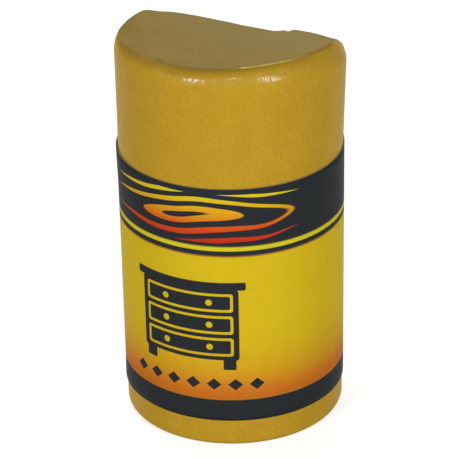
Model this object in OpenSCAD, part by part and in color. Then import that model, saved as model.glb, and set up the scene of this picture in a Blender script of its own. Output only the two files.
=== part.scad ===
// Furniture repair wax stick: a cast stick of soft filler wax with a tilted, scooped working end, and the
// printed paper label that is wrapped round it. Millimetres, +Z up. The origin is the centre of the foot,
// the label's front faces -Y and the scoop falls towards +Y.

/* [Wax stick] */
// Diameter at the foot, before its edge is rounded
foot_d = 27.6; // [22:0.1:34]
// Lean of the side from upright, which lets the casting leave its mould, in degrees
draft = 0.43; // [0:0.01:1.5]
// Radius of the rounded edge round the foot
foot_round = 1; // [0.4:0.1:2]

/* [Scooped end] */
// Height of the scooped face on the axis of the stick
face_h = 48.4; // [44:0.1:64]
// Fall of the scoop towards the back, in degrees
face_fall = 11.9; // [0:0.1:16]
// Radius of the scoop from side to side
scoop_r = 32.5; // [24:0.5:80]
// Radius of the shoulder between the side and the scooped face
shoulder_r = 3.5; // [1:0.1:4.5]
// Angle that is left between the shoulder and the scooped face along the rim, in degrees
rim_crease = 56; // [20:1:62]
// How far the bare end flares out beyond the line of the side
end_flare = 0.18; // [0:0.01:0.4]

/* [Label] */
// Height of the label's lower edge above the foot
label_z = 3.85; // [2.2:0.05:6]
// Width of the label's strip, from its lower to its upper edge
label_w = 32.3; // [20:0.1:34]
// Thickness of the label's paper
label_t = 0.16; // [0.08:0.01:0.3]
// Length of the lap at the back, where the label's outer end lies over its inner end
lap_len = 6; // [4:0.5:12]
// Length over which the outer end climbs on to the lap
climb_len = 4; // [2:0.5:8]

/* [Lap glue] */
// Thickness of the film of glue in the lap
glue_t = 0.04; // [0.02:0.01:0.1]
// Bare margin of the lap round the film of glue
glue_margin = 0.8; // [0.3:0.1:1.5]

/* [Hidden] */
$fn = 180;

// Steps of the rounded foot, the shoulder and the climb, and facets of the scooped end
foot_steps = 10;
shoulder_steps = 7;
climb_steps = 8;
end_sides = 96;
face_rings = 8;

// A lofted stretch grows out of a turned one: its root sits inside the turned one, clear of its surface. The
// scooped end's root is below the label's upper edge, where the label hides it
end_cover = 2;
end_root = 1;
climb_root = 0.3;
root_inset = 0.02;
label_top = label_z + label_w;
end_z = label_top - end_cover;
end_lean = draft + atan(end_flare / (face_h - label_top));

// The lap is centred on the back of the stick
lap_at = 90;
lap_lift = label_t + glue_t;
label_mid_z = label_z + label_w / 2;
lap_start = lap_at - arc_deg(lap_len) / 2;

// Radius of the side at a height
function side_r(z) = foot_d / 2 + z * tan(draft);

// Radius of the bare end at a height above the label
function end_r(z) = side_r(z) + end_flare * (z - label_top) / (face_h - label_top);

// Angle that a length along the label takes up round the stick
function arc_deg(len) = len / side_r(label_mid_z) * 180 / PI;

// Height of the scooped face and its radial slope, at a radius and an angle round the stick
function scoop_drop(rho, a) = sqrt(pow(scoop_r, 2) - pow(rho * cos(a), 2));
function face_z(rho, a) =
    face_h - rho * sin(a) * tan(face_fall) + (scoop_r - scoop_drop(rho, a)) / cos(face_fall);
function face_slope(rho, a) =
    rho * pow(cos(a), 2) / scoop_drop(rho, a) / cos(face_fall) - sin(a) * tan(face_fall);

// Centre of the shoulder's arc, and the angle at which the arc meets the scooped face
function shoulder_rho(a) =
    end_r(face_z(end_r(face_h), a) - shoulder_r) - shoulder_r / cos(end_lean);
function shoulder_z(a) =
    face_z(shoulder_rho(a), a)
    - shoulder_r * cos(rim_crease) * sqrt(1 + pow(face_slope(shoulder_rho(a), a), 2));
function shoulder_end(a) = 90 + atan(face_slope(shoulder_rho(a), a)) - rim_crease;

// Profile of one radial cut of the scooped end, as [radius, height] from its root to the last ring of the face
function end_profile(a) =
    let (rc = shoulder_rho(a), zc = shoulder_z(a), last = shoulder_end(a), root_z = end_z - end_root)
    let (rim = rc + shoulder_r * cos(last))
    [
        [side_r(root_z) - root_inset, root_z],
        [side_r(label_top), label_top],
        for (i = [0 : shoulder_steps])
            let (t = -end_lean + (last + end_lean) * i / shoulder_steps)
            [rc + shoulder_r * cos(t), zc + shoulder_r * sin(t)],
        for (i = [1 : face_rings - 1])
            let (rho = rim * (1 - i / face_rings))
            [rho, face_z(rho, a)]
    ];

// Half profile of the turned body: foot, rounded edge and drafted side
function body_profile() =
    let (rc = side_r(foot_round) - foot_round / cos(draft))
    [
        [0, 0],
        for (i = [0 : foot_steps])
            let (t = -90 + (90 - draft) * i / foot_steps)
            [rc + foot_round * cos(t), foot_round + foot_round * sin(t)],
        [side_r(end_z), end_z],
        [0, end_z]
    ];

// Cut through a layer of the label's strip, at a lift above the wax, as [radius, height]
function strip_cut(lift, thick, margin = 0) =
    let (low = label_z + margin, high = label_z + label_w - margin)
    [
        [side_r(low) + lift, low],
        [side_r(low) + lift + thick, low],
        [side_r(high) + lift + thick, high],
        [side_r(high) + lift, high]
    ];

// A point of a radial cut, turned to its angle round the stick
function turned(point, a) = [point[0] * cos(a), point[0] * sin(a), point[1]];

// Height of a smooth step that starts and ends level
function smooth_step(t) = t * t * (3 - 2 * t);

// Scooped end: the radial cuts lofted round the stick and closed at the middle of the face
module scooped_end() {
    cuts = [for (s = [0 : end_sides - 1]) end_profile(360 * s / end_sides)];
    n = len(cuts[0]);
    middle = end_sides * n;
    points = [
        for (s = [0 : end_sides - 1], i = [0 : n - 1]) turned(cuts[s][i], 360 * s / end_sides),
        [0, 0, face_h]
    ];
    faces = [
        [for (s = [0 : end_sides - 1]) s * n],
        for (s = [0 : end_sides - 1])
            let (here = s * n, next = (s + 1) % end_sides * n)
            each [
                for (i = [0 : n - 2]) each [
                    [here + i, here + i + 1, next + i],
                    [next + i, here + i + 1, next + i + 1]
                ],
                [here + n - 1, middle, next + n - 1]
            ]
    ];
    polyhedron(points, faces);
}

// One layer of a strip that follows the wax round part of a turn
module strip_arc(start, span, cut) {
    rotate([0, 0, start])
        rotate_extrude(angle = span)
            polygon(cut);
}

// The stretch of the label that climbs from the wax on to the lap, with a root in the strip at each end
module climb(start, span) {
    root = arc_deg(climb_root);
    angles = [-root, for (i = [0 : climb_steps]) span * i / climb_steps, span + root];
    points = [
        for (a = angles)
            let (lift = lap_lift * smooth_step(min(max(a / span, 0), 1)))
            for (corner = strip_cut(lift + root_inset, label_t - 2 * root_inset, root_inset))
                turned(corner, start + a)
    ];
    last = 4 * (len(angles) - 1);
    faces = [
        [3, 2, 1, 0],
        for (here = [0 : 4 : last - 4], k = [0 : 3])
            let (next = here + 4, k2 = (k + 1) % 4)
            each [[here + k, next + k2, next + k], [here + k, here + k2, next + k2]],
        [last, last + 1, last + 2, last + 3]
    ];
    polyhedron(points, faces);
}

// Cast wax: turned body with the scooped end on top
module wax_stick() {
    color("#b8912b")
        union() {
            rotate_extrude()
                polygon(body_profile());
            scooped_end();
        }
}

// Printed paper label: once round the wax, a climb, and the lap over its own inner end
module wrap_label() {
    climb_deg = arc_deg(climb_len);
    color("#d8b62c")
        union() {
            strip_arc(lap_start, 360 - climb_deg, strip_cut(0, label_t));
            climb(lap_start + 360 - climb_deg, climb_deg);
            strip_arc(lap_start + 360, arc_deg(lap_len), strip_cut(lap_lift, label_t));
        }
}

// Film of glue between the label's two ends
module lap_glue() {
    margin_deg = arc_deg(glue_margin);
    color("#e6dfc8")
        strip_arc(
            lap_start + margin_deg,
            arc_deg(lap_len) - 2 * margin_deg,
            strip_cut(label_t, glue_t, glue_margin)
        );
}

wax_stick();
wrap_label();
lap_glue();
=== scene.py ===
# %% [markdown]
# # A furniture repair wax stick
# The object is a short, fat stick of soft filler wax with a printed paper label wrapped round its middle.
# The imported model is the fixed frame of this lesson: every piece is made in its metres, +Z up, with the
# label's front towards -Y and the scooped end falling towards +Y. The wax and the label are modelled
# again here with finer detail, and the film of glue in the label's lap keeps its own solid.

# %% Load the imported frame
import math

import bmesh
import bpy
from mathutils import Matrix, Vector, noise


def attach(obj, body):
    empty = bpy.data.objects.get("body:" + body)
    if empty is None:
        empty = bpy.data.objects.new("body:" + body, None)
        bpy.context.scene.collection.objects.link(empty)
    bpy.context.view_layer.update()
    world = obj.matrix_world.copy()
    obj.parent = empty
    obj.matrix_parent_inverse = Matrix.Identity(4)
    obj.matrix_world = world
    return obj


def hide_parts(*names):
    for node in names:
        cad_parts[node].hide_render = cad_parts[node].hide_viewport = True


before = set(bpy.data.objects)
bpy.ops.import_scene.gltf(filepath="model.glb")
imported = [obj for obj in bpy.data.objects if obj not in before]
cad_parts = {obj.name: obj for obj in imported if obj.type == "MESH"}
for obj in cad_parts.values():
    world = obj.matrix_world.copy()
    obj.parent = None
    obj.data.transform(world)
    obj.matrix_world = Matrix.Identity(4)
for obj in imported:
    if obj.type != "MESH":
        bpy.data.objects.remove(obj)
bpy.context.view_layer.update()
print("nodes", sorted(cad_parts))

# %% [markdown]
# ## The measures
# The stick was cast, so its side leans out a little from the foot. Its working end is a hollow, tilted
# face with a round shoulder, and the two meet in a crease. These are the driving values of the solids, in
# millimetres and degrees, so that each new piece lies where its solid is. Working in millimetres until
# the last move keeps the numbers readable.

# %% Measures of the stick and its label
MM = 0.001
FOOT_D = 27.6
FOOT_ROUND = 1.0
DRAFT = math.radians(0.43)
FACE_H = 48.4
FACE_FALL = math.radians(11.9)
SCOOP_R = 32.5
SHOULDER_R = 3.5
RIM_CREASE = math.radians(56)
END_FLARE = 0.18
LABEL_Z = 3.85
LABEL_W = 32.3
LABEL_T = 0.16
LAP_LEN = 6.0
CLIMB_LEN = 4.0
GLUE_T = 0.04
LAP_LIFT = LABEL_T + GLUE_T
LABEL_TOP = LABEL_Z + LABEL_W
END_LEAN = DRAFT + math.atan(END_FLARE / (FACE_H - LABEL_TOP))


def side_r(z):
    """Radius of the side at a height."""
    return FOOT_D / 2 + z * math.tan(DRAFT)


def end_r(z):
    """Radius of the bare end at a height above the label."""
    return side_r(z) + END_FLARE * (z - LABEL_TOP) / (FACE_H - LABEL_TOP)


def face_z(rho, a):
    """Height of the scooped face at a radius and an angle."""
    drop = math.sqrt(SCOOP_R ** 2 - (rho * math.cos(a)) ** 2)
    return FACE_H - rho * math.sin(a) * math.tan(FACE_FALL) + (SCOOP_R - drop) / math.cos(FACE_FALL)


def face_slope(rho, a):
    """Radial slope of the scooped face at a radius and an angle."""
    drop = math.sqrt(SCOOP_R ** 2 - (rho * math.cos(a)) ** 2)
    return rho * math.cos(a) ** 2 / drop / math.cos(FACE_FALL) - math.sin(a) * math.tan(FACE_FALL)


def smooth(t):
    """Smooth step from 0 to 1."""
    t = min(max(t, 0.0), 1.0)
    return t * t * (3 - 2 * t)


def bell(a, middle, spread):
    """Bell round an angle, all three in degrees."""
    away = (a - middle + 180) % 360 - 180
    return math.exp(-(away / spread) ** 2)


print("bare end from", LABEL_TOP, "mm, radius there", round(side_r(LABEL_TOP), 3), "mm")

# %% [markdown]
# ## The camera
# The picture is taken with a long lens from the front right, looking down at the stick. A camera can be
# turned with Euler angles, or its matrix can be built from the three directions it needs. The matrix is
# the plainer way here, because the picture is also rolled a little and the stick stands off its middle.

# %% Camera at the picture's angle
VIEW_TURN = math.radians(24.9)
VIEW_DOWN = math.radians(26.56)
VIEW_ROLL = math.radians(-1.1)
VIEW_FAR = 413.3
AIM = Vector((0, 0, 25.17))
AIM_LEFT = 0.38
AIM_DOWN = 1.264
LENS = 257.1
SENSOR = 36

turn = Matrix.Rotation(VIEW_TURN, 3, "Z")
right = turn @ Vector((1, 0, 0))
ahead = turn @ Vector((0, math.cos(VIEW_DOWN), -math.sin(VIEW_DOWN)))
above = right.cross(ahead)
axis_x = right * math.cos(VIEW_ROLL) + above * math.sin(VIEW_ROLL)
axis_y = above * math.cos(VIEW_ROLL) - right * math.sin(VIEW_ROLL)
eye = AIM - ahead * VIEW_FAR - axis_x * AIM_LEFT - axis_y * AIM_DOWN

camera_data = bpy.data.cameras.new("camera")
camera_data.lens = LENS
camera_data.sensor_width = SENSOR
camera_data.clip_start = 0.01
camera_data.clip_end = 50
camera = bpy.data.objects.new("camera", camera_data)
bpy.context.scene.collection.objects.link(camera)
camera.matrix_world = Matrix((axis_x, axis_y, -ahead)).transposed().to_4x4()
camera.location = eye * MM
bpy.context.scene.camera = camera
print("camera at", [round(c, 1) for c in eye], "mm")

# %% [markdown]
# ## The wax: a turned blank
# The real stick is one casting. A primitive cylinder has no rounded foot and no shoulder, and a boolean
# cut leaves ragged faces along the rim. So a half profile is drawn as a chain of stations from the middle
# of the foot, up the side and over the shoulder to the middle of the face, and spun round the axis. Each
# vertex keeps the number of its station, which the next step needs.

# %% Stations of the half profile
STEPS = [("foot", 6), ("heel", 10), ("wrapped", 14), ("bare", 26), ("shoulder", 22), ("crease", 16),
         ("face", 40)]
STATIONS = [("foot", 0.0)] + [(kind, i / count) for kind, count in STEPS for i in range(1, count + 1)]
print(len(STATIONS), "stations")

# %% [markdown]
# ## The wax: wear along the rim
# Such wax doesn't keep a sharp edge. The crease is worn round at the front and sagged at the front left,
# a ridge with a nick is pushed up along the back, and thumbs have pressed two flats into the shoulder.
# Sculpting would do this by hand, but short functions of the angle round the stick can be read and
# changed. Angles are in degrees, with -90 at the label's front and 0 at its right, and lengths are in
# millimetres.

# %% Shape of the worn rim
def crease_round(a):
    """Reach of the rounding along the crease: fine at the back, worn soft in front and on the high sides."""
    d = math.degrees(a)
    front = smooth((d + 112) / 24) * (1 - smooth((d + 5) / 30))
    return 0.15 + 0.8 * front + 1.3 * bell(d, -155, 24) + 0.9 * bell(d, 38, 20)


def sag(a):
    """How far the front left of the face has sagged to a lower crease, from 0 to 1."""
    d = math.degrees(a)
    return smooth((-101 - d) / 22) * smooth((d + 182) / 32)


def rim_lift(a):
    """Wander of the rim's height, and the rough ridge along its back with a nick where it starts."""
    d = math.degrees(a) % 360
    ridge = 0.56 * smooth((92 - d) / 13) * (1 - smooth((74 - d) / 32))
    nick = 0.3 * bell(d, 82, 2)
    high = 0.3 * bell(d, 170, 9) + 0.15 * bell(d, 36, 14) + 0.08 * bell(d, 205, 18) + 0.2 * bell(d, -70, 40)
    low = 0.3 * bell(d, -25, 22) + 0.2 * bell(d, -120, 16)
    behind = smooth((d - 40) / 20) * (1 - smooth((d - 190) / 20))
    rough = 0.07 * behind * noise.noise(Vector((d / 9, 0.5, 0.5)))
    return ridge + high - low - nick + rough


# Depth of each flat, then its angle, its spread and how far up the shoulder it lies, in degrees
THUMB_FLATS = [(0.07, -44, 14, 30), (0.05, -83, 12, 23)]
FLAT_SPREAD = 18


def shoulder_reach(lean, a):
    """Radius of the shoulder's arc at a lean, a little less where thumbs have pressed flats into it."""
    d = math.degrees(a)
    up = math.degrees(lean)
    reach = SHOULDER_R
    for depth, at, wide, middle in THUMB_FLATS:
        reach -= depth * bell(d, at, wide) * bell(up, middle, FLAT_SPREAD)
    return reach


print("rim lifted", round(rim_lift(math.radians(70)), 2), "mm on its back ridge")

# %% Radial cut through the worn end
SAG_IN = 2.2
LIFT_FADE = 5.5


def radial_cut(a):
    """Shoulder's centre and end angle, and the rim's corner, on the radial cut at an angle."""
    rho = end_r(face_z(end_r(FACE_H), a) - SHOULDER_R) - SHOULDER_R / math.cos(END_LEAN)
    slope = face_slope(rho, a)
    z = face_z(rho, a) - SHOULDER_R * math.cos(RIM_CREASE) * math.hypot(1, slope)
    end = math.pi / 2 + math.atan(slope) - RIM_CREASE
    rim = rho + SHOULDER_R * math.cos(end)
    return rho, z, end, rim, face_z(rim, a)


def wax_point(kind, t, a):
    """Radius and height of a station on the radial cut at an angle."""
    heel_r = side_r(FOOT_ROUND) - FOOT_ROUND / math.cos(DRAFT)
    if kind == "foot":
        return heel_r * t, 0.0
    if kind == "heel":
        lean = -math.pi / 2 + (math.pi / 2 - DRAFT) * t
        return heel_r + FOOT_ROUND * math.cos(lean), FOOT_ROUND + FOOT_ROUND * math.sin(lean)
    if kind == "wrapped":
        z = FOOT_ROUND + (LABEL_TOP - FOOT_ROUND) * t
        return side_r(z), z
    rho, z, end, rim, rim_z = radial_cut(a)
    fine = crease_round(a)
    if kind == "bare":
        start = z - SHOULDER_R * math.sin(END_LEAN)
        height = LABEL_TOP + (start - LABEL_TOP) * t
        return side_r(LABEL_TOP) + (rho + SHOULDER_R * math.cos(END_LEAN) - side_r(LABEL_TOP)) * t, height
    last = end - fine / SHOULDER_R
    if kind == "shoulder":
        lean = -END_LEAN + (last + END_LEAN) * t
        lift = rim_lift(a) * smooth(t * 1.6 - 0.6)
        reach = shoulder_reach(lean, a)
        return rho + reach * math.cos(lean), z + reach * math.sin(lean) + lift
    sunk = sag(a)
    inner = rim - fine - SAG_IN * sunk
    if kind == "crease":
        reach = shoulder_reach(last, a)
        before = (rho + reach * math.cos(last), z + reach * math.sin(last))
        after = (inner, face_z(inner, a))
        out = 0.4 * (before[0] - inner)
        flat = (inner + out, after[1] + out * face_slope(inner, a))
        corner = (rim + (flat[0] - rim) * sunk, rim_z + (flat[1] - rim_z) * sunk)
        point = [(1 - t) ** 2 * p + 2 * t * (1 - t) * c + t * t * q for p, c, q in zip(before, corner, after)]
        return point[0], point[1] + rim_lift(a) * smooth(1 - (rim - point[0]) / LIFT_FADE)
    reach = inner * (1 - t)
    return reach, face_z(reach, a) + rim_lift(a) * smooth(1 - (rim - reach) / LIFT_FADE)


print("rim at", round(radial_cut(-math.pi / 2)[4], 2), "mm in front and",
      round(radial_cut(math.pi / 2)[4], 2), "mm behind")

# %% Spin the profile into a blank
SPIN_STEPS = 320
wax_mesh = bmesh.new()
station_of = wax_mesh.verts.layers.int.new("station")
chain = []
for number, (kind, t) in enumerate(STATIONS):
    rho, z = wax_point(kind, t, 0.0)
    vert = wax_mesh.verts.new((rho, 0, z))
    vert[station_of] = number
    chain.append(vert)
links = [wax_mesh.edges.new(pair) for pair in zip(chain, chain[1:])]
bmesh.ops.spin(wax_mesh, geom=chain + links, cent=(0, 0, 0), axis=(0, 0, 1), dvec=(0, 0, 0),
               angle=math.tau, steps=SPIN_STEPS, use_merge=True)
bmesh.ops.remove_doubles(wax_mesh, verts=wax_mesh.verts, dist=1e-5)
print("blank", len(wax_mesh.verts), "vertices,", len(wax_mesh.faces), "faces")

# %% [markdown]
# ## The wax: traces of use, and painted light
# Old wax shows its use more in its surface than in its shape. Bloom covers the cut face and has spread over
# the high left end of the shoulder; its pale colour is also painted sheen, the white that a face seen at a
# grazing angle reflects. Dust and painted shade darken the crease, and painted shade lies along the top of
# the shoulder below it. A bright line along the crease's front right is a painted highlight. Hands have
# wiped the shoulder and thumbs have polished it. A finish could find such places by height or angle, but
# the crease wanders, so each place is worked out on the radial cut, from the station and the angle, and
# goes with the mesh as an attribute between 0 and 1.

# %% Bloom with painted sheen, and dust with painted shade
def bloom_sheen_reach(a):
    """Share of the shoulder, from the crease down, that the bloomed, sheen-painted colour covers at the high
    left end.
    """
    past = (-150 - math.degrees(a)) % 360
    patch = 0.85 + 0.3 * noise.noise(Vector((past / 11, 0.5, 0.5)))
    return patch * smooth(past / 20) * (1 - smooth((past - 25) / 65))


def bloom_sheen_on(kind, t, a):
    """Bloom with painted sheen on a station: the whole face, thinner at its far right, and what has spread
    past the crease.
    """
    d = math.degrees(a)
    sunk = sag(a)
    spread = bloom_sheen_reach(a)
    fade = 0.5 * smooth((-118 - d) / 15) * sunk
    if kind == "shoulder":
        return max(fade * smooth((t - 0.7) / 0.3), smooth((t - 1 + spread) / 0.5))
    if kind == "crease":
        return max(smooth(spread / 0.2), fade, smooth((t - 0.4 * (1 - sunk)) / (0.6 - 0.48 * sunk)))
    if kind == "face":
        return 1 - 0.3 * bell(d, 2, 16) * smooth(1 - t / 0.3)
    return 0.0


def crease_dust_and_shade(a):
    """Dust and painted shade in the crease: along the front left, at the far right and along the back ridge.
    """
    d = math.degrees(a)
    left = (0.5 + 0.5 * smooth((d + 126) / 16)) * smooth((d + 165) / 20) * (1 - smooth((d + 78) / 16))
    right_end = 0.7 * smooth((d + 32) / 14) * (1 - smooth((d - 15) / 20))
    back = 0.5 * smooth((d - 40) / 10) * (1 - smooth((d - 92) / 6))
    return left + back + right_end


def crease_dirt(a):
    """Dirt that is smeared along the crease at the far right."""
    d = math.degrees(a)
    return 0.85 * smooth((d + 34) / 26) * (1 - smooth((d - 6) / 12))


def dust_and_shade_on(kind, t, a):
    """Dust, dirt and painted shade: in the crease, as shade below it on the shoulder, and over the bloomed
    roll.
    """
    d = math.degrees(a)
    sunk = sag(a)
    over = smooth(bloom_sheen_reach(a) / 0.2)
    inner_edge = {"crease": smooth(t * 3 - 2), "face": smooth(1 - t / 0.03)}.get(kind, 0.0)
    outer_edge = {"shoulder": smooth(t * 8 - 7), "crease": smooth(1 - t * 8)}.get(kind, 0.0)
    near_edge = (inner_edge + (outer_edge - inner_edge) * sunk) * (1 + sunk * (1 - sunk))
    # Painted shade on the top of the shoulder below the crease, which faces up, away from the lamps
    dusk = smooth((-84 - d) / 16) * (1 - 0.6 * smooth((-138 - d) / 12))
    deep = smooth((-103 - d) / 8)
    brink = 0.3 + (0.5 + 0.15 * deep) * dusk
    below = brink * smooth(1 - (1 - t) * (4 - (1.2 + 1.2 * deep) * dusk))
    rolled = (brink + (0.8 - brink) * smooth(t * 2)) * (1 - sunk * smooth(t * 6))
    under_edge = {"shoulder": below, "crease": rolled}.get(kind, 0.0) * (1 - over)
    # This painted shade fades towards the right
    worn = 1 - 0.5 * smooth((d + 60) / 30) - 0.4 * smooth((d + 28) / 20)
    smear = {"crease": smooth((t - 0.3) / 0.25), "face": smooth(1 - t / 0.06)}.get(kind, 0.0)
    # Painted shade over the bloom on the rounded shoulder, to darken it to the face's tone
    bloom_shade = 0.0
    if kind == "shoulder":
        bloom_shade = 0.5 * bloom_sheen_on(kind, t, a)
    elif kind == "crease":
        bloom_shade = max(0.5 * over, 0.25 * sunk) * (1 - smooth(t * 1.5 - 0.5))
    return max(near_edge * crease_dust_and_shade(a), under_edge * worn, bloom_shade, crease_dirt(a) * smear)


# Dust and painted shade in the front left crease
print("dust in the front left crease", round(crease_dust_and_shade(math.radians(-110)), 2))

# %% Painted highlight on the crease, and marks of hands
def crease_glint(a):
    """Painted highlight along the crease: bright along the front right, and weaker, in specks, beyond."""
    d = math.degrees(a)
    return smooth((d + 71) / 14) * (1 - 0.45 * smooth((d + 40) / 20)) * (1 - smooth((d - 5) / 20))


def painted_glint_line(kind, t, a):
    """Painted highlight: a bright line along the inner side of the crease."""
    if kind != "crease":
        return 0.0
    return crease_glint(a) * math.exp(-((t - 0.83) / 0.17) ** 2)


def hands_on(kind, t, a):
    """How far hands have wiped a station smooth, and how far thumbs have polished it."""
    if kind != "shoulder":
        return 0.0, 0.0
    d = math.degrees(a)
    front = bell(d, -64, 42)
    upper = smooth((t - 0.4) / 0.25)
    wiped = 0.7 * front + 0.9 * bell(d, -43, 13)
    pressed = front - 0.5 * bell(d, -63, 9) + 0.25 * bell(d, -44, 12)
    return wiped * upper * (1 - smooth(t * 5 - 4)), pressed * upper


# Strength of the painted highlight along the crease at the front right
print("crease polished to", round(crease_glint(math.radians(-45)), 2), "at the front right")

# %% [markdown]
# ## The wax: the pressed end
# The hollow face, the crease and the worn rim differ all round the stick, so each vertex of the blank is
# moved to where its station lies on its own radial cut. Wax that was cast and handled isn't perfect, so
# the bare end also gets a slow swell of a few hundredths of a millimetre and leans a little to the right.
# The traces of use, with the painted sheen, shade and highlight, are written to the mesh in the same pass.

# %% Press the end into shape
SWELL = 0.035
SWELL_SIZE = 7.0
SLANT = 0.2 * Vector((math.cos(VIEW_TURN), math.sin(VIEW_TURN)))


def pressed_spot(kind, t, a):
    """Place of a station on its radial cut, with the swell and the lean of the bare end."""
    rho, z = wax_point(kind, t, a)
    spot = Vector((rho * math.cos(a), rho * math.sin(a), z))
    swell = SWELL * noise.noise(spot / SWELL_SIZE)
    if kind == "bare":
        rho += swell * smooth(t * 3)
    elif kind in ("shoulder", "crease"):
        rho += swell
        z += 0.5 * swell
    elif kind == "face":
        z += 0.5 * swell
    slant = SLANT * min(max((z - LABEL_TOP) / (FACE_H - LABEL_TOP), 0.0), 1.0)
    return rho * math.cos(a) + slant[0], rho * math.sin(a) + slant[1], z


# Masks for the finish: cut_face for bloom with painted sheen, rim_edge for dust with painted shade, rim_shine
# for a painted highlight
cut_face = wax_mesh.verts.layers.float.new("cut_face")
rim_edge = wax_mesh.verts.layers.float.new("rim_edge")
rim_shine = wax_mesh.verts.layers.float.new("rim_shine")
thumbed = wax_mesh.verts.layers.float.new("thumbed")
smeared = wax_mesh.verts.layers.float.new("smeared")
for vert in wax_mesh.verts:
    kind, t = STATIONS[vert[station_of]]
    a = math.atan2(vert.co.y, vert.co.x)
    vert.co = pressed_spot(kind, t, a)
    vert[cut_face] = bloom_sheen_on(kind, t, a)
    vert[rim_edge] = dust_and_shade_on(kind, t, a)
    vert[rim_shine] = painted_glint_line(kind, t, a)
    vert[smeared], vert[thumbed] = hands_on(kind, t, a)
bmesh.ops.scale(wax_mesh, vec=(MM, MM, MM), verts=wax_mesh.verts)
bmesh.ops.recalc_face_normals(wax_mesh, faces=wax_mesh.faces)
for face in wax_mesh.faces:
    face.smooth = True


def piece_from(mesh_draft, name):
    """Makes an object at the origin from a finished draft."""
    data = bpy.data.meshes.new(name)
    mesh_draft.to_mesh(data)
    mesh_draft.free()
    piece = bpy.data.objects.new(name, data)
    bpy.context.scene.collection.objects.link(piece)
    return piece


cast_wax = piece_from(wax_mesh, "cast_wax")
print("cast wax", [round(d / MM, 2) for d in cast_wax.dimensions], "mm")

# %% [markdown]
# ## The label: a strip of paper
# The label is one flat strip that goes once round the stick and laps over its own end at the back. It
# could be a tube, but then it would have no lap and no flat print. So it starts as a flat grid, takes its
# print's place in millimetres as a UV map while it is still flat, and is then wrapped by moving each
# vertex to its angle and its lift above the wax. The paper stands off a little along its upper edge on
# the left, as on the real one. A Solidify modifier gives it its thickness inwards, with bare paper on its
# cut edges and its back.

# %% Wrap the strip
STRIP_COLUMNS = 330
STRIP_ROWS = 40
MID_R = side_r(LABEL_Z + LABEL_W / 2)
LAP_AT = 90
# The print's middle lies a little to the right of the label's front
PRINT_AT = 360 - 85.6


def arc_deg(length):
    """Angle that a length along the label takes up round the stick."""
    return math.degrees(length / MID_R)


LAP_START = LAP_AT - arc_deg(LAP_LEN) / 2
CLIMB_START = LAP_START + 360 - arc_deg(CLIMB_LEN)
STRIP_SPAN = 360 + arc_deg(LAP_LEN)


def stand_off(angle, v):
    """Gap between the paper and the wax where the label's edges have come loose."""
    loose = 0.11 * bell(angle, 206, 20) + 0.05 * bell(angle, 318, 16)
    return loose * smooth((v - LABEL_W + 6) / 6) + 0.05 * bell(angle, 215, 18) * smooth((3 - v) / 3)


label_mesh = bmesh.new()
bmesh.ops.create_grid(label_mesh, x_segments=STRIP_COLUMNS, y_segments=STRIP_ROWS, size=0.5)
print_place = label_mesh.loops.layers.uv.new("print_mm")
for face in label_mesh.faces:
    face.smooth = True
    for loop in face.loops:
        angle = LAP_START + STRIP_SPAN * (loop.vert.co.x + 0.5)
        loop[print_place].uv = (math.radians(angle - PRINT_AT) * MID_R, LABEL_W * (loop.vert.co.y + 0.5))
for vert in label_mesh.verts:
    angle = LAP_START + STRIP_SPAN * (vert.co.x + 0.5)
    v = LABEL_W * (vert.co.y + 0.5)
    lift = LAP_LIFT * smooth((angle - CLIMB_START) / arc_deg(CLIMB_LEN)) + LABEL_T + stand_off(angle, v)
    rho = side_r(LABEL_Z + v) + lift
    a = math.radians(angle)
    vert.co = (rho * math.cos(a), rho * math.sin(a), LABEL_Z + v)
bmesh.ops.scale(label_mesh, vec=(MM, MM, MM), verts=label_mesh.verts)
bmesh.ops.recalc_face_normals(label_mesh, faces=label_mesh.faces)
paper_label = piece_from(label_mesh, "paper_label")
thickness = paper_label.modifiers.new("paper thickness", "SOLIDIFY")
thickness.thickness = LABEL_T * MM
thickness.offset = -1
thickness.material_offset = 1
thickness.material_offset_rim = 1
outward = paper_label.data.polygons[0]
print("label", [round(d / MM, 2) for d in paper_label.dimensions], "mm, outward",
      outward.normal.dot(outward.center) > 0)

# %% [markdown]
# ## Finishes
# Each finish is a small tree of nodes. Colours are written as the sRGB hex values that the eye would
# pick, and one function turns them to the linear values that a shader takes. One more function adds a
# node with its settings and its links, which keeps each tree close to a list of what the surface is made
# of.

# %% Helpers for the finishes
def linear(hex_code):
    """Linear colour of an sRGB hex value."""
    parts = [int(hex_code[i:i + 2], 16) / 255 for i in (1, 3, 5)]
    return tuple(c / 12.92 if c <= 0.04045 else ((c + 0.055) / 1.055) ** 2.4 for c in parts) + (1.0,)


def add(tree, kind, inputs, stops=(), **settings):
    """Adds one node with its settings, and sets or links its inputs; a node links by its first output.

    A colour ramp also takes its stops, as (place, colour).
    """
    node = tree.nodes.new("ShaderNode" + kind)
    while len(stops) > len(node.color_ramp.elements if stops else ()):
        node.color_ramp.elements.new(1.0)
    for number, (place_of, colour) in enumerate(stops):
        node.color_ramp.elements[number].position = place_of
        node.color_ramp.elements[number].color = colour
    for name, value in settings.items():
        setattr(node, name, value)
    for socket, value in inputs.items():
        if isinstance(value, bpy.types.Node):
            value = value.outputs[0]
        if isinstance(value, bpy.types.NodeSocket):
            tree.links.new(value, node.inputs[socket])
        else:
            node.inputs[socket].default_value = value
    return node


def finish_tree(name):
    """New material and its empty tree."""
    material = bpy.data.materials.new(name)
    material.use_nodes = True
    material.node_tree.nodes.clear()
    return material, material.node_tree


def in_millimetres(tree, drawn=1.0):
    """Place on a piece in millimetres; drawn is how many times a pattern is drawn out along the stick."""
    place = add(tree, "TexCoord", {})
    per_m = 1 / MM
    return add(tree, "Mapping", {"Vector": place.outputs["Object"], "Scale": (per_m, per_m, per_m / drawn)})


print("filler wax in linear colour", [round(c, 3) for c in linear("#B68F24")[:3]])

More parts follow.
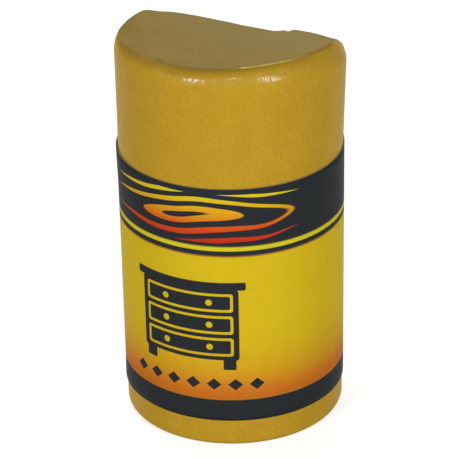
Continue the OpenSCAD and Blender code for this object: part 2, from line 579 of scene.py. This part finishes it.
# %% [markdown]
# ## Cast filler wax
# The stick is a soft blend of waxes with earth pigment, poured into a mould. That gives a warm ochre with
# a slow mottle where the pigment settled, a fine grain, a satin skin and a little light that sinks in.
# The cut face has gone dull with bloom, and its pale colour is also painted sheen, paler towards the back.
# The crease is matte with dust and dark with dust and painted shade, and a thin gold painted highlight
# runs along it, broken up by the grain.

# %% Wax colours
MOTTLE_MM = 3.2
# The real grain is finer; at this size it shows in the picture
GRAIN_MM = 0.3
SKIN = ("#B68F24", "#C59D2B")
# The bloom colours are also painted sheen: paler and greyer than the skin
BLOOM_SHEEN = ("#A98D4C", "#B79B5A")
# Painted sheen: the face's colour goes paler towards its back
PALER_BACK = "#B09C60"
PALER_FROM = -4
PALER_TO = 16
# Dark colour for dust and painted shade
DUST_AND_SHADE = "#6E5516"
# Gold of the painted highlight along the crease
GLINT_GOLD = "#FCDC66"
wax, tree = finish_tree("cast filler wax")
in_mm = in_millimetres(tree)
mottle = add(tree, "TexNoise", {"Vector": in_mm, "Scale": 1 / MOTTLE_MM, "Detail": 3.0, "Roughness": 0.55})
grain = add(tree, "TexNoise", {"Vector": in_mm, "Scale": 1 / GRAIN_MM, "Detail": 2.0, "Roughness": 0.6})
both = add(tree, "Mix", {0: 0.7, 2: mottle, 3: grain}, data_type="FLOAT")
shade = add(tree, "MapRange", {"Value": both, "From Min": 0.36, "From Max": 0.64})
skin = add(tree, "Mix", {0: shade, 6: linear(SKIN[0]), 7: linear(SKIN[1])}, data_type="RGBA")
bloom_sheen = add(tree, "Mix", {0: shade, 6: linear(BLOOM_SHEEN[0]), 7: linear(BLOOM_SHEEN[1])}, data_type="RGBA")
depth = add(tree, "SeparateXYZ", {"Vector": in_mm})
# Painted sheen: the bloom's colour turns paler from the front of the face to its back
haze = add(tree, "MapRange", {"Value": depth.outputs["Y"], "From Min": PALER_FROM, "From Max": PALER_TO})
hazed = add(tree, "Mix", {0: haze, 6: bloom_sheen.outputs[2], 7: linear(PALER_BACK)}, data_type="RGBA")
print("wax skin", SKIN, "and bloom", BLOOM_SHEEN)

# %% Bloom with painted sheen, dust with painted shade, and the painted highlight over the skin
face_mask = add(tree, "Attribute", {}, attribute_name="cut_face").outputs["Fac"]
rim_mask = add(tree, "Attribute", {}, attribute_name="rim_edge").outputs["Fac"]
shine_mask = add(tree, "Attribute", {}, attribute_name="rim_shine").outputs["Fac"]
faced = add(tree, "Mix", {0: face_mask, 6: skin.outputs[2], 7: hazed.outputs[2]}, data_type="RGBA")
# Dust and painted shade darken the crease and the top of the shoulder
dust_and_shade = add(tree, "Math", {0: rim_mask, 1: 0.5}, operation="MULTIPLY")
dusted_shaded = add(tree, "Mix", {0: dust_and_shade, 6: faced.outputs[2], 7: linear(DUST_AND_SHADE)}, data_type="RGBA")
# Painted highlight: a gold line along the crease, broken into specks by the grain
glint_base = add(tree, "MapRange", {"Value": shine_mask, "To Min": -0.2, "To Max": 0.4})
glint_sum = add(tree, "Math", {0: glint_base, 1: grain}, operation="ADD")
glint_specks = add(tree, "MapRange", {"Value": glint_sum, "From Min": 0.62, "From Max": 0.76})
# Colour with the painted highlight laid over it
polished = add(tree, "Mix", {0: glint_specks, 6: dusted_shaded.outputs[2], 7: linear(GLINT_GOLD)}, data_type="RGBA")
print("wax colours", len(tree.nodes), "nodes")

# %% [markdown]
# ## The wax: its surface
# The bare skin is satin, and the bloomed face and the places of dust and painted shade are matte. The
# shoulder was smeared smooth by hand, which left faint slanting streaks. Where thumbs have polished it,
# it shines through a clear coat whose weight follows the streaks, so that a reflection breaks up into a few
# glints. One roughness for all of it would look like plastic.

# %% Wax surface
STREAK_MM = 0.3
SATIN = 0.42
SMOOTHED = 0.16
MATTE = 0.8
SKIN_RELIEF = 0.07 * MM
THUMB_RELIEF = 0.06 * MM
LIGHT_SINKS = 1.2 * MM
smear_mask = add(tree, "Attribute", {}, attribute_name="smeared").outputs["Fac"]
thumb_mask = add(tree, "Attribute", {}, attribute_name="thumbed").outputs["Fac"]
streak_place = add(tree, "Mapping", {"Vector": in_mm, "Rotation": (0.5, 0.6, 0.0), "Scale": (1.0, 1.0, 0.3)})
streaks = add(tree, "TexNoise", {"Vector": streak_place, "Scale": 1 / STREAK_MM, "Detail": 2.0})
streak_depth = add(tree, "Math", {0: streaks, 1: smear_mask}, operation="MULTIPLY")
satin = add(tree, "MapRange", {"Value": smear_mask, "To Min": SATIN, "To Max": SMOOTHED})
dull = add(tree, "Math", {0: face_mask, 1: rim_mask}, operation="MAXIMUM")
matte = add(tree, "Mix", {0: dull, 2: satin, 3: MATTE}, data_type="FLOAT")
bumps = add(tree, "Math", {0: grain, 1: 0.1, 2: streak_depth}, operation="MULTIPLY_ADD")
wax_relief = add(tree, "Bump", {"Height": bumps, "Strength": 0.7, "Distance": SKIN_RELIEF})
thumb_relief = add(tree, "Bump", {"Height": streak_depth, "Strength": 0.4, "Distance": THUMB_RELIEF})
thumb_wear = add(tree, "MapRange", {"Value": streaks, "From Min": 0.37, "From Max": 0.58,
                                    "To Min": 0.06, "To Max": 0.95})
thumb_gloss = add(tree, "Math", {0: thumb_mask, 1: thumb_wear}, operation="MULTIPLY")
wax_shader = add(tree, "BsdfPrincipled", {
    "Base Color": polished.outputs[2], "Roughness": matte, "Normal": wax_relief, "IOR": 1.44,
    "Specular IOR Level": 0.045, "Subsurface Weight": 0.12, "Subsurface Radius": (1.0, 0.55, 0.15),
    "Subsurface Scale": LIGHT_SINKS, "Coat Weight": thumb_gloss, "Coat Roughness": 0.17, "Coat IOR": 1.44,
    "Coat Normal": thumb_relief})
add(tree, "OutputMaterial", {"Surface": wax_shader})
cast_wax.data.materials.append(wax)
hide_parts("wax_stick")
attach(cast_wax, "root")
print("wax finish", len(tree.nodes), "nodes")

# %% [markdown]
# ## The print: bands and glow
# The label is coated paper, printed in a few inks and varnished. Its print is laid out in millimetres on
# the label's own UV map: charcoal bands along both edges, a yellow field between them, and an orange glow
# that fades upwards from the lower band. A colour ramp across the strip draws all the bands at once, and
# its alpha says where a band's ink covers the field.

# %% Field, glow and bands
CHARCOAL = linear("#2C2F31")
INK_EDGE = 0.05
print_ink, tree = finish_tree("printed varnished paper")
place = add(tree, "UVMap", {}, uv_map="print_mm")
across = add(tree, "SeparateXYZ", {"Vector": place})
u, v = across.outputs["X"], across.outputs["Y"]
LOWER_BAND = 3.05
GLOW_TOP = 13.05
GLOW = [(0.0, "#C46A20"), (0.1, "#CC7321"), (0.17, "#CE7D21"), (0.28, "#D29221"), (0.42, "#D3A221"),
        (0.7, "#D7B320"), (1.0, "#D8B91F")]
glow_step = add(tree, "MapRange", {"Value": v, "From Min": LOWER_BAND, "From Max": GLOW_TOP})
field = add(tree, "ValToRGB", {"Fac": glow_step}, stops=[(at, linear(colour)) for at, colour in GLOW])
band_place = add(tree, "Math", {0: v, 1: LABEL_W}, operation="DIVIDE")
CLEAR = linear(GLOW[-1][1])[:3] + (0.0,)
RUST = linear("#B4782A")
STRIPE = linear("#DACA26")
BANDS = [(LOWER_BAND, CHARCOAL, CLEAR), (23.05, CLEAR, RUST), (23.22, RUST, CHARCOAL),
         (23.9, CHARCOAL, STRIPE), (24.48, STRIPE, CHARCOAL)]
stops = []
for height, below, upper in BANDS:
    stops += [((height - INK_EDGE) / LABEL_W, below), ((height + INK_EDGE) / LABEL_W, upper)]
bands = add(tree, "ValToRGB", {"Fac": band_place}, stops=stops)
banded = add(tree, "Mix", {0: bands.outputs["Alpha"], 6: field, 7: bands}, data_type="RGBA")
print("bands at", [height for height, below, upper in BANDS], "mm")

# %% [markdown]
# ## The print: wood grain on the dark band
# The dark band carries the grain of a flat-sawn board, in a blend from yellow through orange to red.
# Rings round a long ellipse make it: a Mapping node turns the print's place into the ellipse's own
# measure, a little noise makes the rings waver, and a folded distance gives the strokes, which grow thin
# towards the ends.

# %% Grain strokes
GRAIN_AT = (-0.6, 28.3, 0.0)
RING = (9.0, 1.3, 1.0)
GRAIN_HALF = 13.5
BOARD_HALF = 3.3
WAVER_MM = 7.692
WAVER_BY = (0.9, 1.3, 0.0)
FLAME = [(0.0, "#C4301C"), (0.3, "#D5541E"), (0.62, "#E0A01F"), (1.0, "#DCC824")]
FLAME_FROM = 25.2
FLAME_TO = 31.4
board = add(tree, "Mapping", {"Vector": place, "Location": GRAIN_AT, "Rotation": (0, 0, 0.035),
                              "Scale": RING}, vector_type="TEXTURE")
waver = add(tree, "TexNoise", {"Vector": place, "Scale": 1 / WAVER_MM, "Detail": 0.0})
waver_mid = add(tree, "VectorMath", {0: waver.outputs["Color"], 1: (0.5, 0.5, 0.5)}, operation="SUBTRACT")
waver_by = add(tree, "VectorMath", {0: waver_mid, 1: WAVER_BY}, operation="MULTIPLY")
wavering = add(tree, "VectorMath", {0: board, 1: waver_by}, operation="ADD")
ring = add(tree, "VectorMath", {0: wavering}, operation="LENGTH")
ring_off = add(tree, "Math", {0: ring.outputs["Value"], 1: 0.5}, operation="ADD")
fold = add(tree, "Math", {0: ring_off, 1: 0.5}, operation="PINGPONG")
along = add(tree, "Math", {0: u, 1: 1 / GRAIN_HALF}, operation="MULTIPLY")
along_sq = add(tree, "Math", {0: along, 1: along}, operation="MULTIPLY")
stroke = add(tree, "MapRange", {"Value": along_sq, "From Max": 1.0, "To Min": 0.25, "To Max": 0.0})
stroke_in = add(tree, "Math", {0: stroke, 1: fold}, operation="SUBTRACT")
stroke_mask = add(tree, "MapRange", {"Value": stroke_in, "From Min": -0.03, "From Max": 0.03},
                  interpolation_type="SMOOTHSTEP")
board_off = add(tree, "Math", {0: v, 1: GRAIN_AT[1]}, operation="SUBTRACT")
board_half = add(tree, "Math", {0: board_off}, operation="ABSOLUTE")
inside = add(tree, "Math", {0: board_half, 1: BOARD_HALF}, operation="LESS_THAN")
short = add(tree, "Math", {0: along_sq, 1: 1.0}, operation="LESS_THAN")
within = add(tree, "Math", {0: inside, 1: short}, operation="MULTIPLY")
grain_mask = add(tree, "Math", {0: stroke_mask, 1: within}, operation="MULTIPLY")
blend_step = add(tree, "MapRange", {"Value": v, "From Min": FLAME_FROM, "From Max": FLAME_TO})
blend = add(tree, "ValToRGB", {"Fac": blend_step}, stops=[(at, linear(colour)) for at, colour in FLAME])
grained = add(tree, "Mix", {0: grain_mask, 6: banded.outputs[2], 7: blend}, data_type="RGBA")
print("grain strokes over", 2 * GRAIN_HALF, "mm")

# %% [markdown]
# ## The print: a chest of drawers
# The field shows what the wax is for: a plain chest of drawers in charcoal, over a row of lozenges. Each
# shape is a rounded box, measured as a distance from the box's core, and the drawers and knobs are made
# once and repeated by folding the height.

# %% Chest and lozenges
SOFT = 0.05
CHEST_AT = (-1.0, 13.6, 0.0)
DRAWER_STEP = 3.1
TOP_AT = (0, 5.4, 0)
TOP_HALF = (7.5, 0.55)
LEG_AT = (5.4, -5.5, 0)
LEG_HALF = (0.8, 0.8)


def ink_box(spot, centre, half, corner):
    """Mask of a rounded box on the print, from a few nodes."""
    off = add(tree, "VectorMath", {0: spot, 1: centre}, operation="SUBTRACT")
    folded = add(tree, "VectorMath", {0: off}, operation="ABSOLUTE")
    core = (half[0] - corner, half[1] - corner, 1.0)
    beyond = add(tree, "VectorMath", {0: folded, 1: core}, operation="SUBTRACT")
    outside = add(tree, "VectorMath", {0: beyond, 1: (0.0, 0.0, 0.0)}, operation="MAXIMUM")
    reach = add(tree, "VectorMath", {0: outside}, operation="LENGTH")
    return add(tree, "MapRange", {"Value": reach.outputs["Value"], "From Min": corner + SOFT,
                                  "From Max": corner - SOFT}, interpolation_type="SMOOTHSTEP")


chest = add(tree, "VectorMath", {0: place, 1: CHEST_AT}, operation="SUBTRACT")
halves = add(tree, "VectorMath", {0: chest}, operation="ABSOLUTE")
chest_parts = add(tree, "SeparateXYZ", {"Vector": chest})
half_parts = add(tree, "SeparateXYZ", {"Vector": halves})
mirrored = add(tree, "CombineXYZ", {"X": half_parts.outputs["X"], "Y": chest_parts.outputs["Y"]})
row_low = add(tree, "Math", {0: chest_parts.outputs["Y"], 1: 1.5 * DRAWER_STEP}, operation="ADD")
row_fold = add(tree, "Math", {0: row_low, 1: DRAWER_STEP}, operation="FLOORED_MODULO")
row_mid = add(tree, "Math", {0: row_fold, 1: DRAWER_STEP / 2}, operation="SUBTRACT")
drawer = add(tree, "CombineXYZ", {"X": half_parts.outputs["X"], "Y": row_mid})
body = ink_box(mirrored, (0, 0, 0), (6.6, 5.0), 0.5)
top = ink_box(mirrored, TOP_AT, TOP_HALF, 0.25)
feet = ink_box(mirrored, LEG_AT, LEG_HALF, 0.2)
opening = ink_box(drawer, (0, 0, 0), (5.9, 1.28), 0.35)
panel = ink_box(drawer, (0, 0, 0), (5.55, 0.93), 0.25)
knob = ink_box(drawer, (2.9, 0, 0), (0.42, 0.42), 0.42)
chest_high = TOP_AT[1] + TOP_HALF[1] - LEG_AT[1] + LEG_HALF[1]
print("chest", 2 * TOP_HALF[0], "by", round(chest_high, 2), "mm")

# %% Put the inks together
gap = add(tree, "Math", {0: opening, 1: panel}, operation="SUBTRACT")
bare_spots = add(tree, "Math", {0: gap, 1: knob}, operation="ADD")
carcass = add(tree, "Math", {0: body, 1: bare_spots}, operation="SUBTRACT", use_clamp=True)
with_top = add(tree, "Math", {0: carcass, 1: top}, operation="MAXIMUM")
with_feet = add(tree, "Math", {0: with_top, 1: feet}, operation="MAXIMUM")
LOZENGE_STEP = 2.7
LOZENGE_V = 5.2
LOZENGE_HALF = 0.95
LOZENGE_SQUAT = 1.15
LOZENGE_LEFT = 0.35
LOZENGES = 7
loz_u = add(tree, "Math", {0: u, 1: LOZENGE_LEFT}, operation="ADD")
loz_fold = add(tree, "Math", {0: loz_u, 1: LOZENGE_STEP / 2}, operation="PINGPONG")
loz_off = add(tree, "Math", {0: v, 1: LOZENGE_V}, operation="SUBTRACT")
loz_v = add(tree, "Math", {0: loz_off}, operation="ABSOLUTE")
loz_sum = add(tree, "Math", {0: loz_v, 1: LOZENGE_SQUAT, 2: loz_fold}, operation="MULTIPLY_ADD")
loz_edge = add(tree, "MapRange", {"Value": loz_sum, "From Min": LOZENGE_HALF + SOFT,
                                  "From Max": LOZENGE_HALF - SOFT}, interpolation_type="SMOOTHSTEP")
loz_from = add(tree, "Math", {0: loz_u}, operation="ABSOLUTE")
loz_in = add(tree, "Math", {0: loz_from, 1: LOZENGES / 2 * LOZENGE_STEP}, operation="LESS_THAN")
lozenges = add(tree, "Math", {0: loz_edge, 1: loz_in}, operation="MULTIPLY")
motif = add(tree, "Math", {0: with_feet, 1: lozenges}, operation="MAXIMUM")
printed = add(tree, "Mix", {0: motif, 6: grained.outputs[2], 7: CHARCOAL}, data_type="RGBA")
print("inks so far", len(tree.nodes), "nodes")

# %% [markdown]
# ## The paper under the inks
# Varnished paper is smooth, with a soft gloss that the varnish evens out. Its fibres show as the faintest
# relief and its inks are a little uneven. The cut edges and the back are bare paper, grey with handling.
# The inks and the bare paper are two finishes, because only the printed side was varnished.

# %% Paper surface
# Real fibres are finer; at this size they show in the picture
FIBRE_MM = 0.22
INK_MM = 1.4
fibre = add(tree, "TexNoise", {"Vector": place, "Scale": 1 / FIBRE_MM, "Detail": 2.0})
density = add(tree, "TexNoise", {"Vector": place, "Scale": 1 / INK_MM, "Detail": 3.0})
tone = add(tree, "MapRange", {"Value": density, "From Min": 0.3, "From Max": 0.7,
                              "To Min": 0.97, "To Max": 1.02})
inked = add(tree, "Mix", {0: 1.0, 6: printed.outputs[2], 7: tone}, data_type="RGBA", blend_type="MULTIPLY")
gloss = add(tree, "MapRange", {"Value": fibre, "From Min": 0.3, "From Max": 0.7,
                               "To Min": 0.42, "To Max": 0.52})
print_relief = add(tree, "Bump", {"Height": fibre, "Strength": 0.25, "Distance": 0.008 * MM})
print_shader = add(tree, "BsdfPrincipled", {
    "Base Color": inked.outputs[2], "Roughness": gloss, "Normal": print_relief, "IOR": 1.5,
    "Specular IOR Level": 0.015})
add(tree, "OutputMaterial", {"Surface": print_shader})
paper_label.data.materials.append(print_ink)
print("print finish", len(tree.nodes), "nodes")

# %% Bare paper on the cut edges and the back
bare_paper, tree = finish_tree("bare cut paper")
pulp_fibre = add(tree, "TexNoise", {"Vector": in_millimetres(tree), "Scale": 1 / FIBRE_MM, "Detail": 3.0})
pulp = add(tree, "Mix", {0: pulp_fibre, 6: linear("#66635C"), 7: linear("#948F84")}, data_type="RGBA")
pulp_relief = add(tree, "Bump", {"Height": pulp_fibre, "Strength": 0.4, "Distance": 0.01 * MM})
pulp_shader = add(tree, "BsdfPrincipled", {
    "Base Color": pulp.outputs[2], "Roughness": 0.85, "Normal": pulp_relief})
add(tree, "OutputMaterial", {"Surface": pulp_shader})
paper_label.data.materials.append(bare_paper)
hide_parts("wrap_label")
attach(paper_label, "root")
print("bare paper", len(tree.nodes), "nodes")

# %% [markdown]
# ## The film of glue
# The glue in the lap is a thin dried film between two layers of paper. Its solid is right as it is, so it
# keeps its mesh and only gets a finish: clear and yellowish, with the streaks of the brush that spread
# it.

# %% Glue finish
BRUSH_MM = 0.6
BRUSH_DRAWN = 25 / 3
dried_glue, tree = finish_tree("dried paper glue")
brush = add(tree, "TexNoise", {"Vector": in_millimetres(tree, BRUSH_DRAWN), "Scale": 1 / BRUSH_MM,
                               "Detail": 2.0})
tint = add(tree, "Mix", {0: brush, 6: linear("#D9CFAE"), 7: linear("#ECE6D2")}, data_type="RGBA")
glue_relief = add(tree, "Bump", {"Height": brush, "Strength": 0.4, "Distance": 0.01 * MM})
glue_shader = add(tree, "BsdfPrincipled", {
    "Base Color": tint.outputs[2], "Roughness": 0.3, "Normal": glue_relief, "IOR": 1.48})
add(tree, "OutputMaterial", {"Surface": glue_shader})
glue_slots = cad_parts["lap_glue"].data.materials
glue_slots.clear()
glue_slots.append(dried_glue)
print("glue", len(tree.nodes), "nodes")

# %% [markdown]
# ## The studio
# The stick stands on a white sweep. The floor is a pale matte plane that takes the stick's shadow, and
# shows camera and reflection rays some extra white, so that it reads as white paper without more light on
# the stick. Two soft boxes stand left and right of the camera and a card over it, a weak box hangs
# behind, and the world fills in. A low box behind lights the far side. It is kept out of reflections,
# because the tilted face and the crease would mirror it to the camera as a pale haze.

# %% White floor
WHITE_LIFT = 0.64
FLOOR_GREY = (0.74, 0.74, 0.74, 1.0)
# Just under the foot, so that the two don't share a plane
FLOOR_DROP = 0.02 * MM


def seen_white(tree):
    """Is 1 for the rays that show the white to the camera: directly, in a gloss or through glass."""
    paths = add(tree, "LightPath", {})
    mirrored_too = add(tree, "Math", {0: paths.outputs["Is Camera Ray"], 1: paths.outputs["Is Glossy Ray"]},
                       operation="MAXIMUM")
    return add(tree, "Math", {0: mirrored_too, 1: paths.outputs["Is Transmission Ray"]}, operation="MAXIMUM")


floor_mesh = bmesh.new()
bmesh.ops.create_grid(floor_mesh, x_segments=4, y_segments=4, size=3.0)
bmesh.ops.translate(floor_mesh, vec=(0, 0, -FLOOR_DROP), verts=floor_mesh.verts)
floor = piece_from(floor_mesh, "floor")
sweep, tree = finish_tree("white paper sweep")
white_lift = add(tree, "Math", {0: seen_white(tree), 1: WHITE_LIFT}, operation="MULTIPLY")
paper = add(tree, "BsdfDiffuse", {"Color": FLOOR_GREY})
white = add(tree, "Emission", {"Strength": white_lift})
total = add(tree, "AddShader", {0: paper, 1: white})
add(tree, "OutputMaterial", {"Surface": total})
floor.data.materials.append(sweep)
print("floor", [round(d, 1) for d in floor.dimensions], "m")

# %% World
WORLD_FILL = 0.11
world = bpy.data.worlds.new("studio")
world.use_nodes = True
tree = world.node_tree
tree.nodes.clear()
level = add(tree, "MapRange", {"Value": seen_white(tree), "To Min": WORLD_FILL, "To Max": 1.0})
sky = add(tree, "Background", {"Color": (1.0, 1.0, 1.0, 1.0), "Strength": level})
add(tree, "OutputWorld", {"Surface": sky})
bpy.context.scene.world = world
print("world fill", WORLD_FILL)

# %% Soft boxes
LIT_FROM = Vector((0, 0, 0.035))
# Name, swing from the camera and height in degrees, distance and size in metres, watts, seen in gloss
BOXES = [
    ("key left", -40, 18, 1.0, 0.22, 0.14, 4.1, True),
    ("key right", 40, 20, 1.0, 0.22, 0.36, 4.3, True),
    ("front card", 2, 33, 1.0, 0.14, 0.05, 1.1, True),
    ("top back", -155, 52, 0.8, 0.45, 0.45, 1.35, True),
    ("back fill", 180, 10, 1.0, 0.6, 0.3, 3.0, False),
]
for name, swing, height, far, wide, tall, watts, in_gloss in BOXES:
    box_light = bpy.data.lights.new(name, "AREA")
    box_light.shape = "RECTANGLE"
    box_light.size = wide
    box_light.size_y = tall
    box_light.energy = watts
    stand = bpy.data.objects.new(name, box_light)
    bpy.context.scene.collection.objects.link(stand)
    around = VIEW_TURN + math.radians(swing)
    up = math.radians(height)
    out = Vector((math.sin(around) * math.cos(up), -math.cos(around) * math.cos(up), math.sin(up)))
    stand.location = LIT_FROM + out * far
    stand.visible_glossy = in_gloss
    stand.rotation_mode = "QUATERNION"
    stand.rotation_quaternion = out.to_track_quat("Z", "Y")
print(len(BOXES), "soft boxes")

# %% Picture settings
bpy.context.scene.view_settings.view_transform = "Standard"
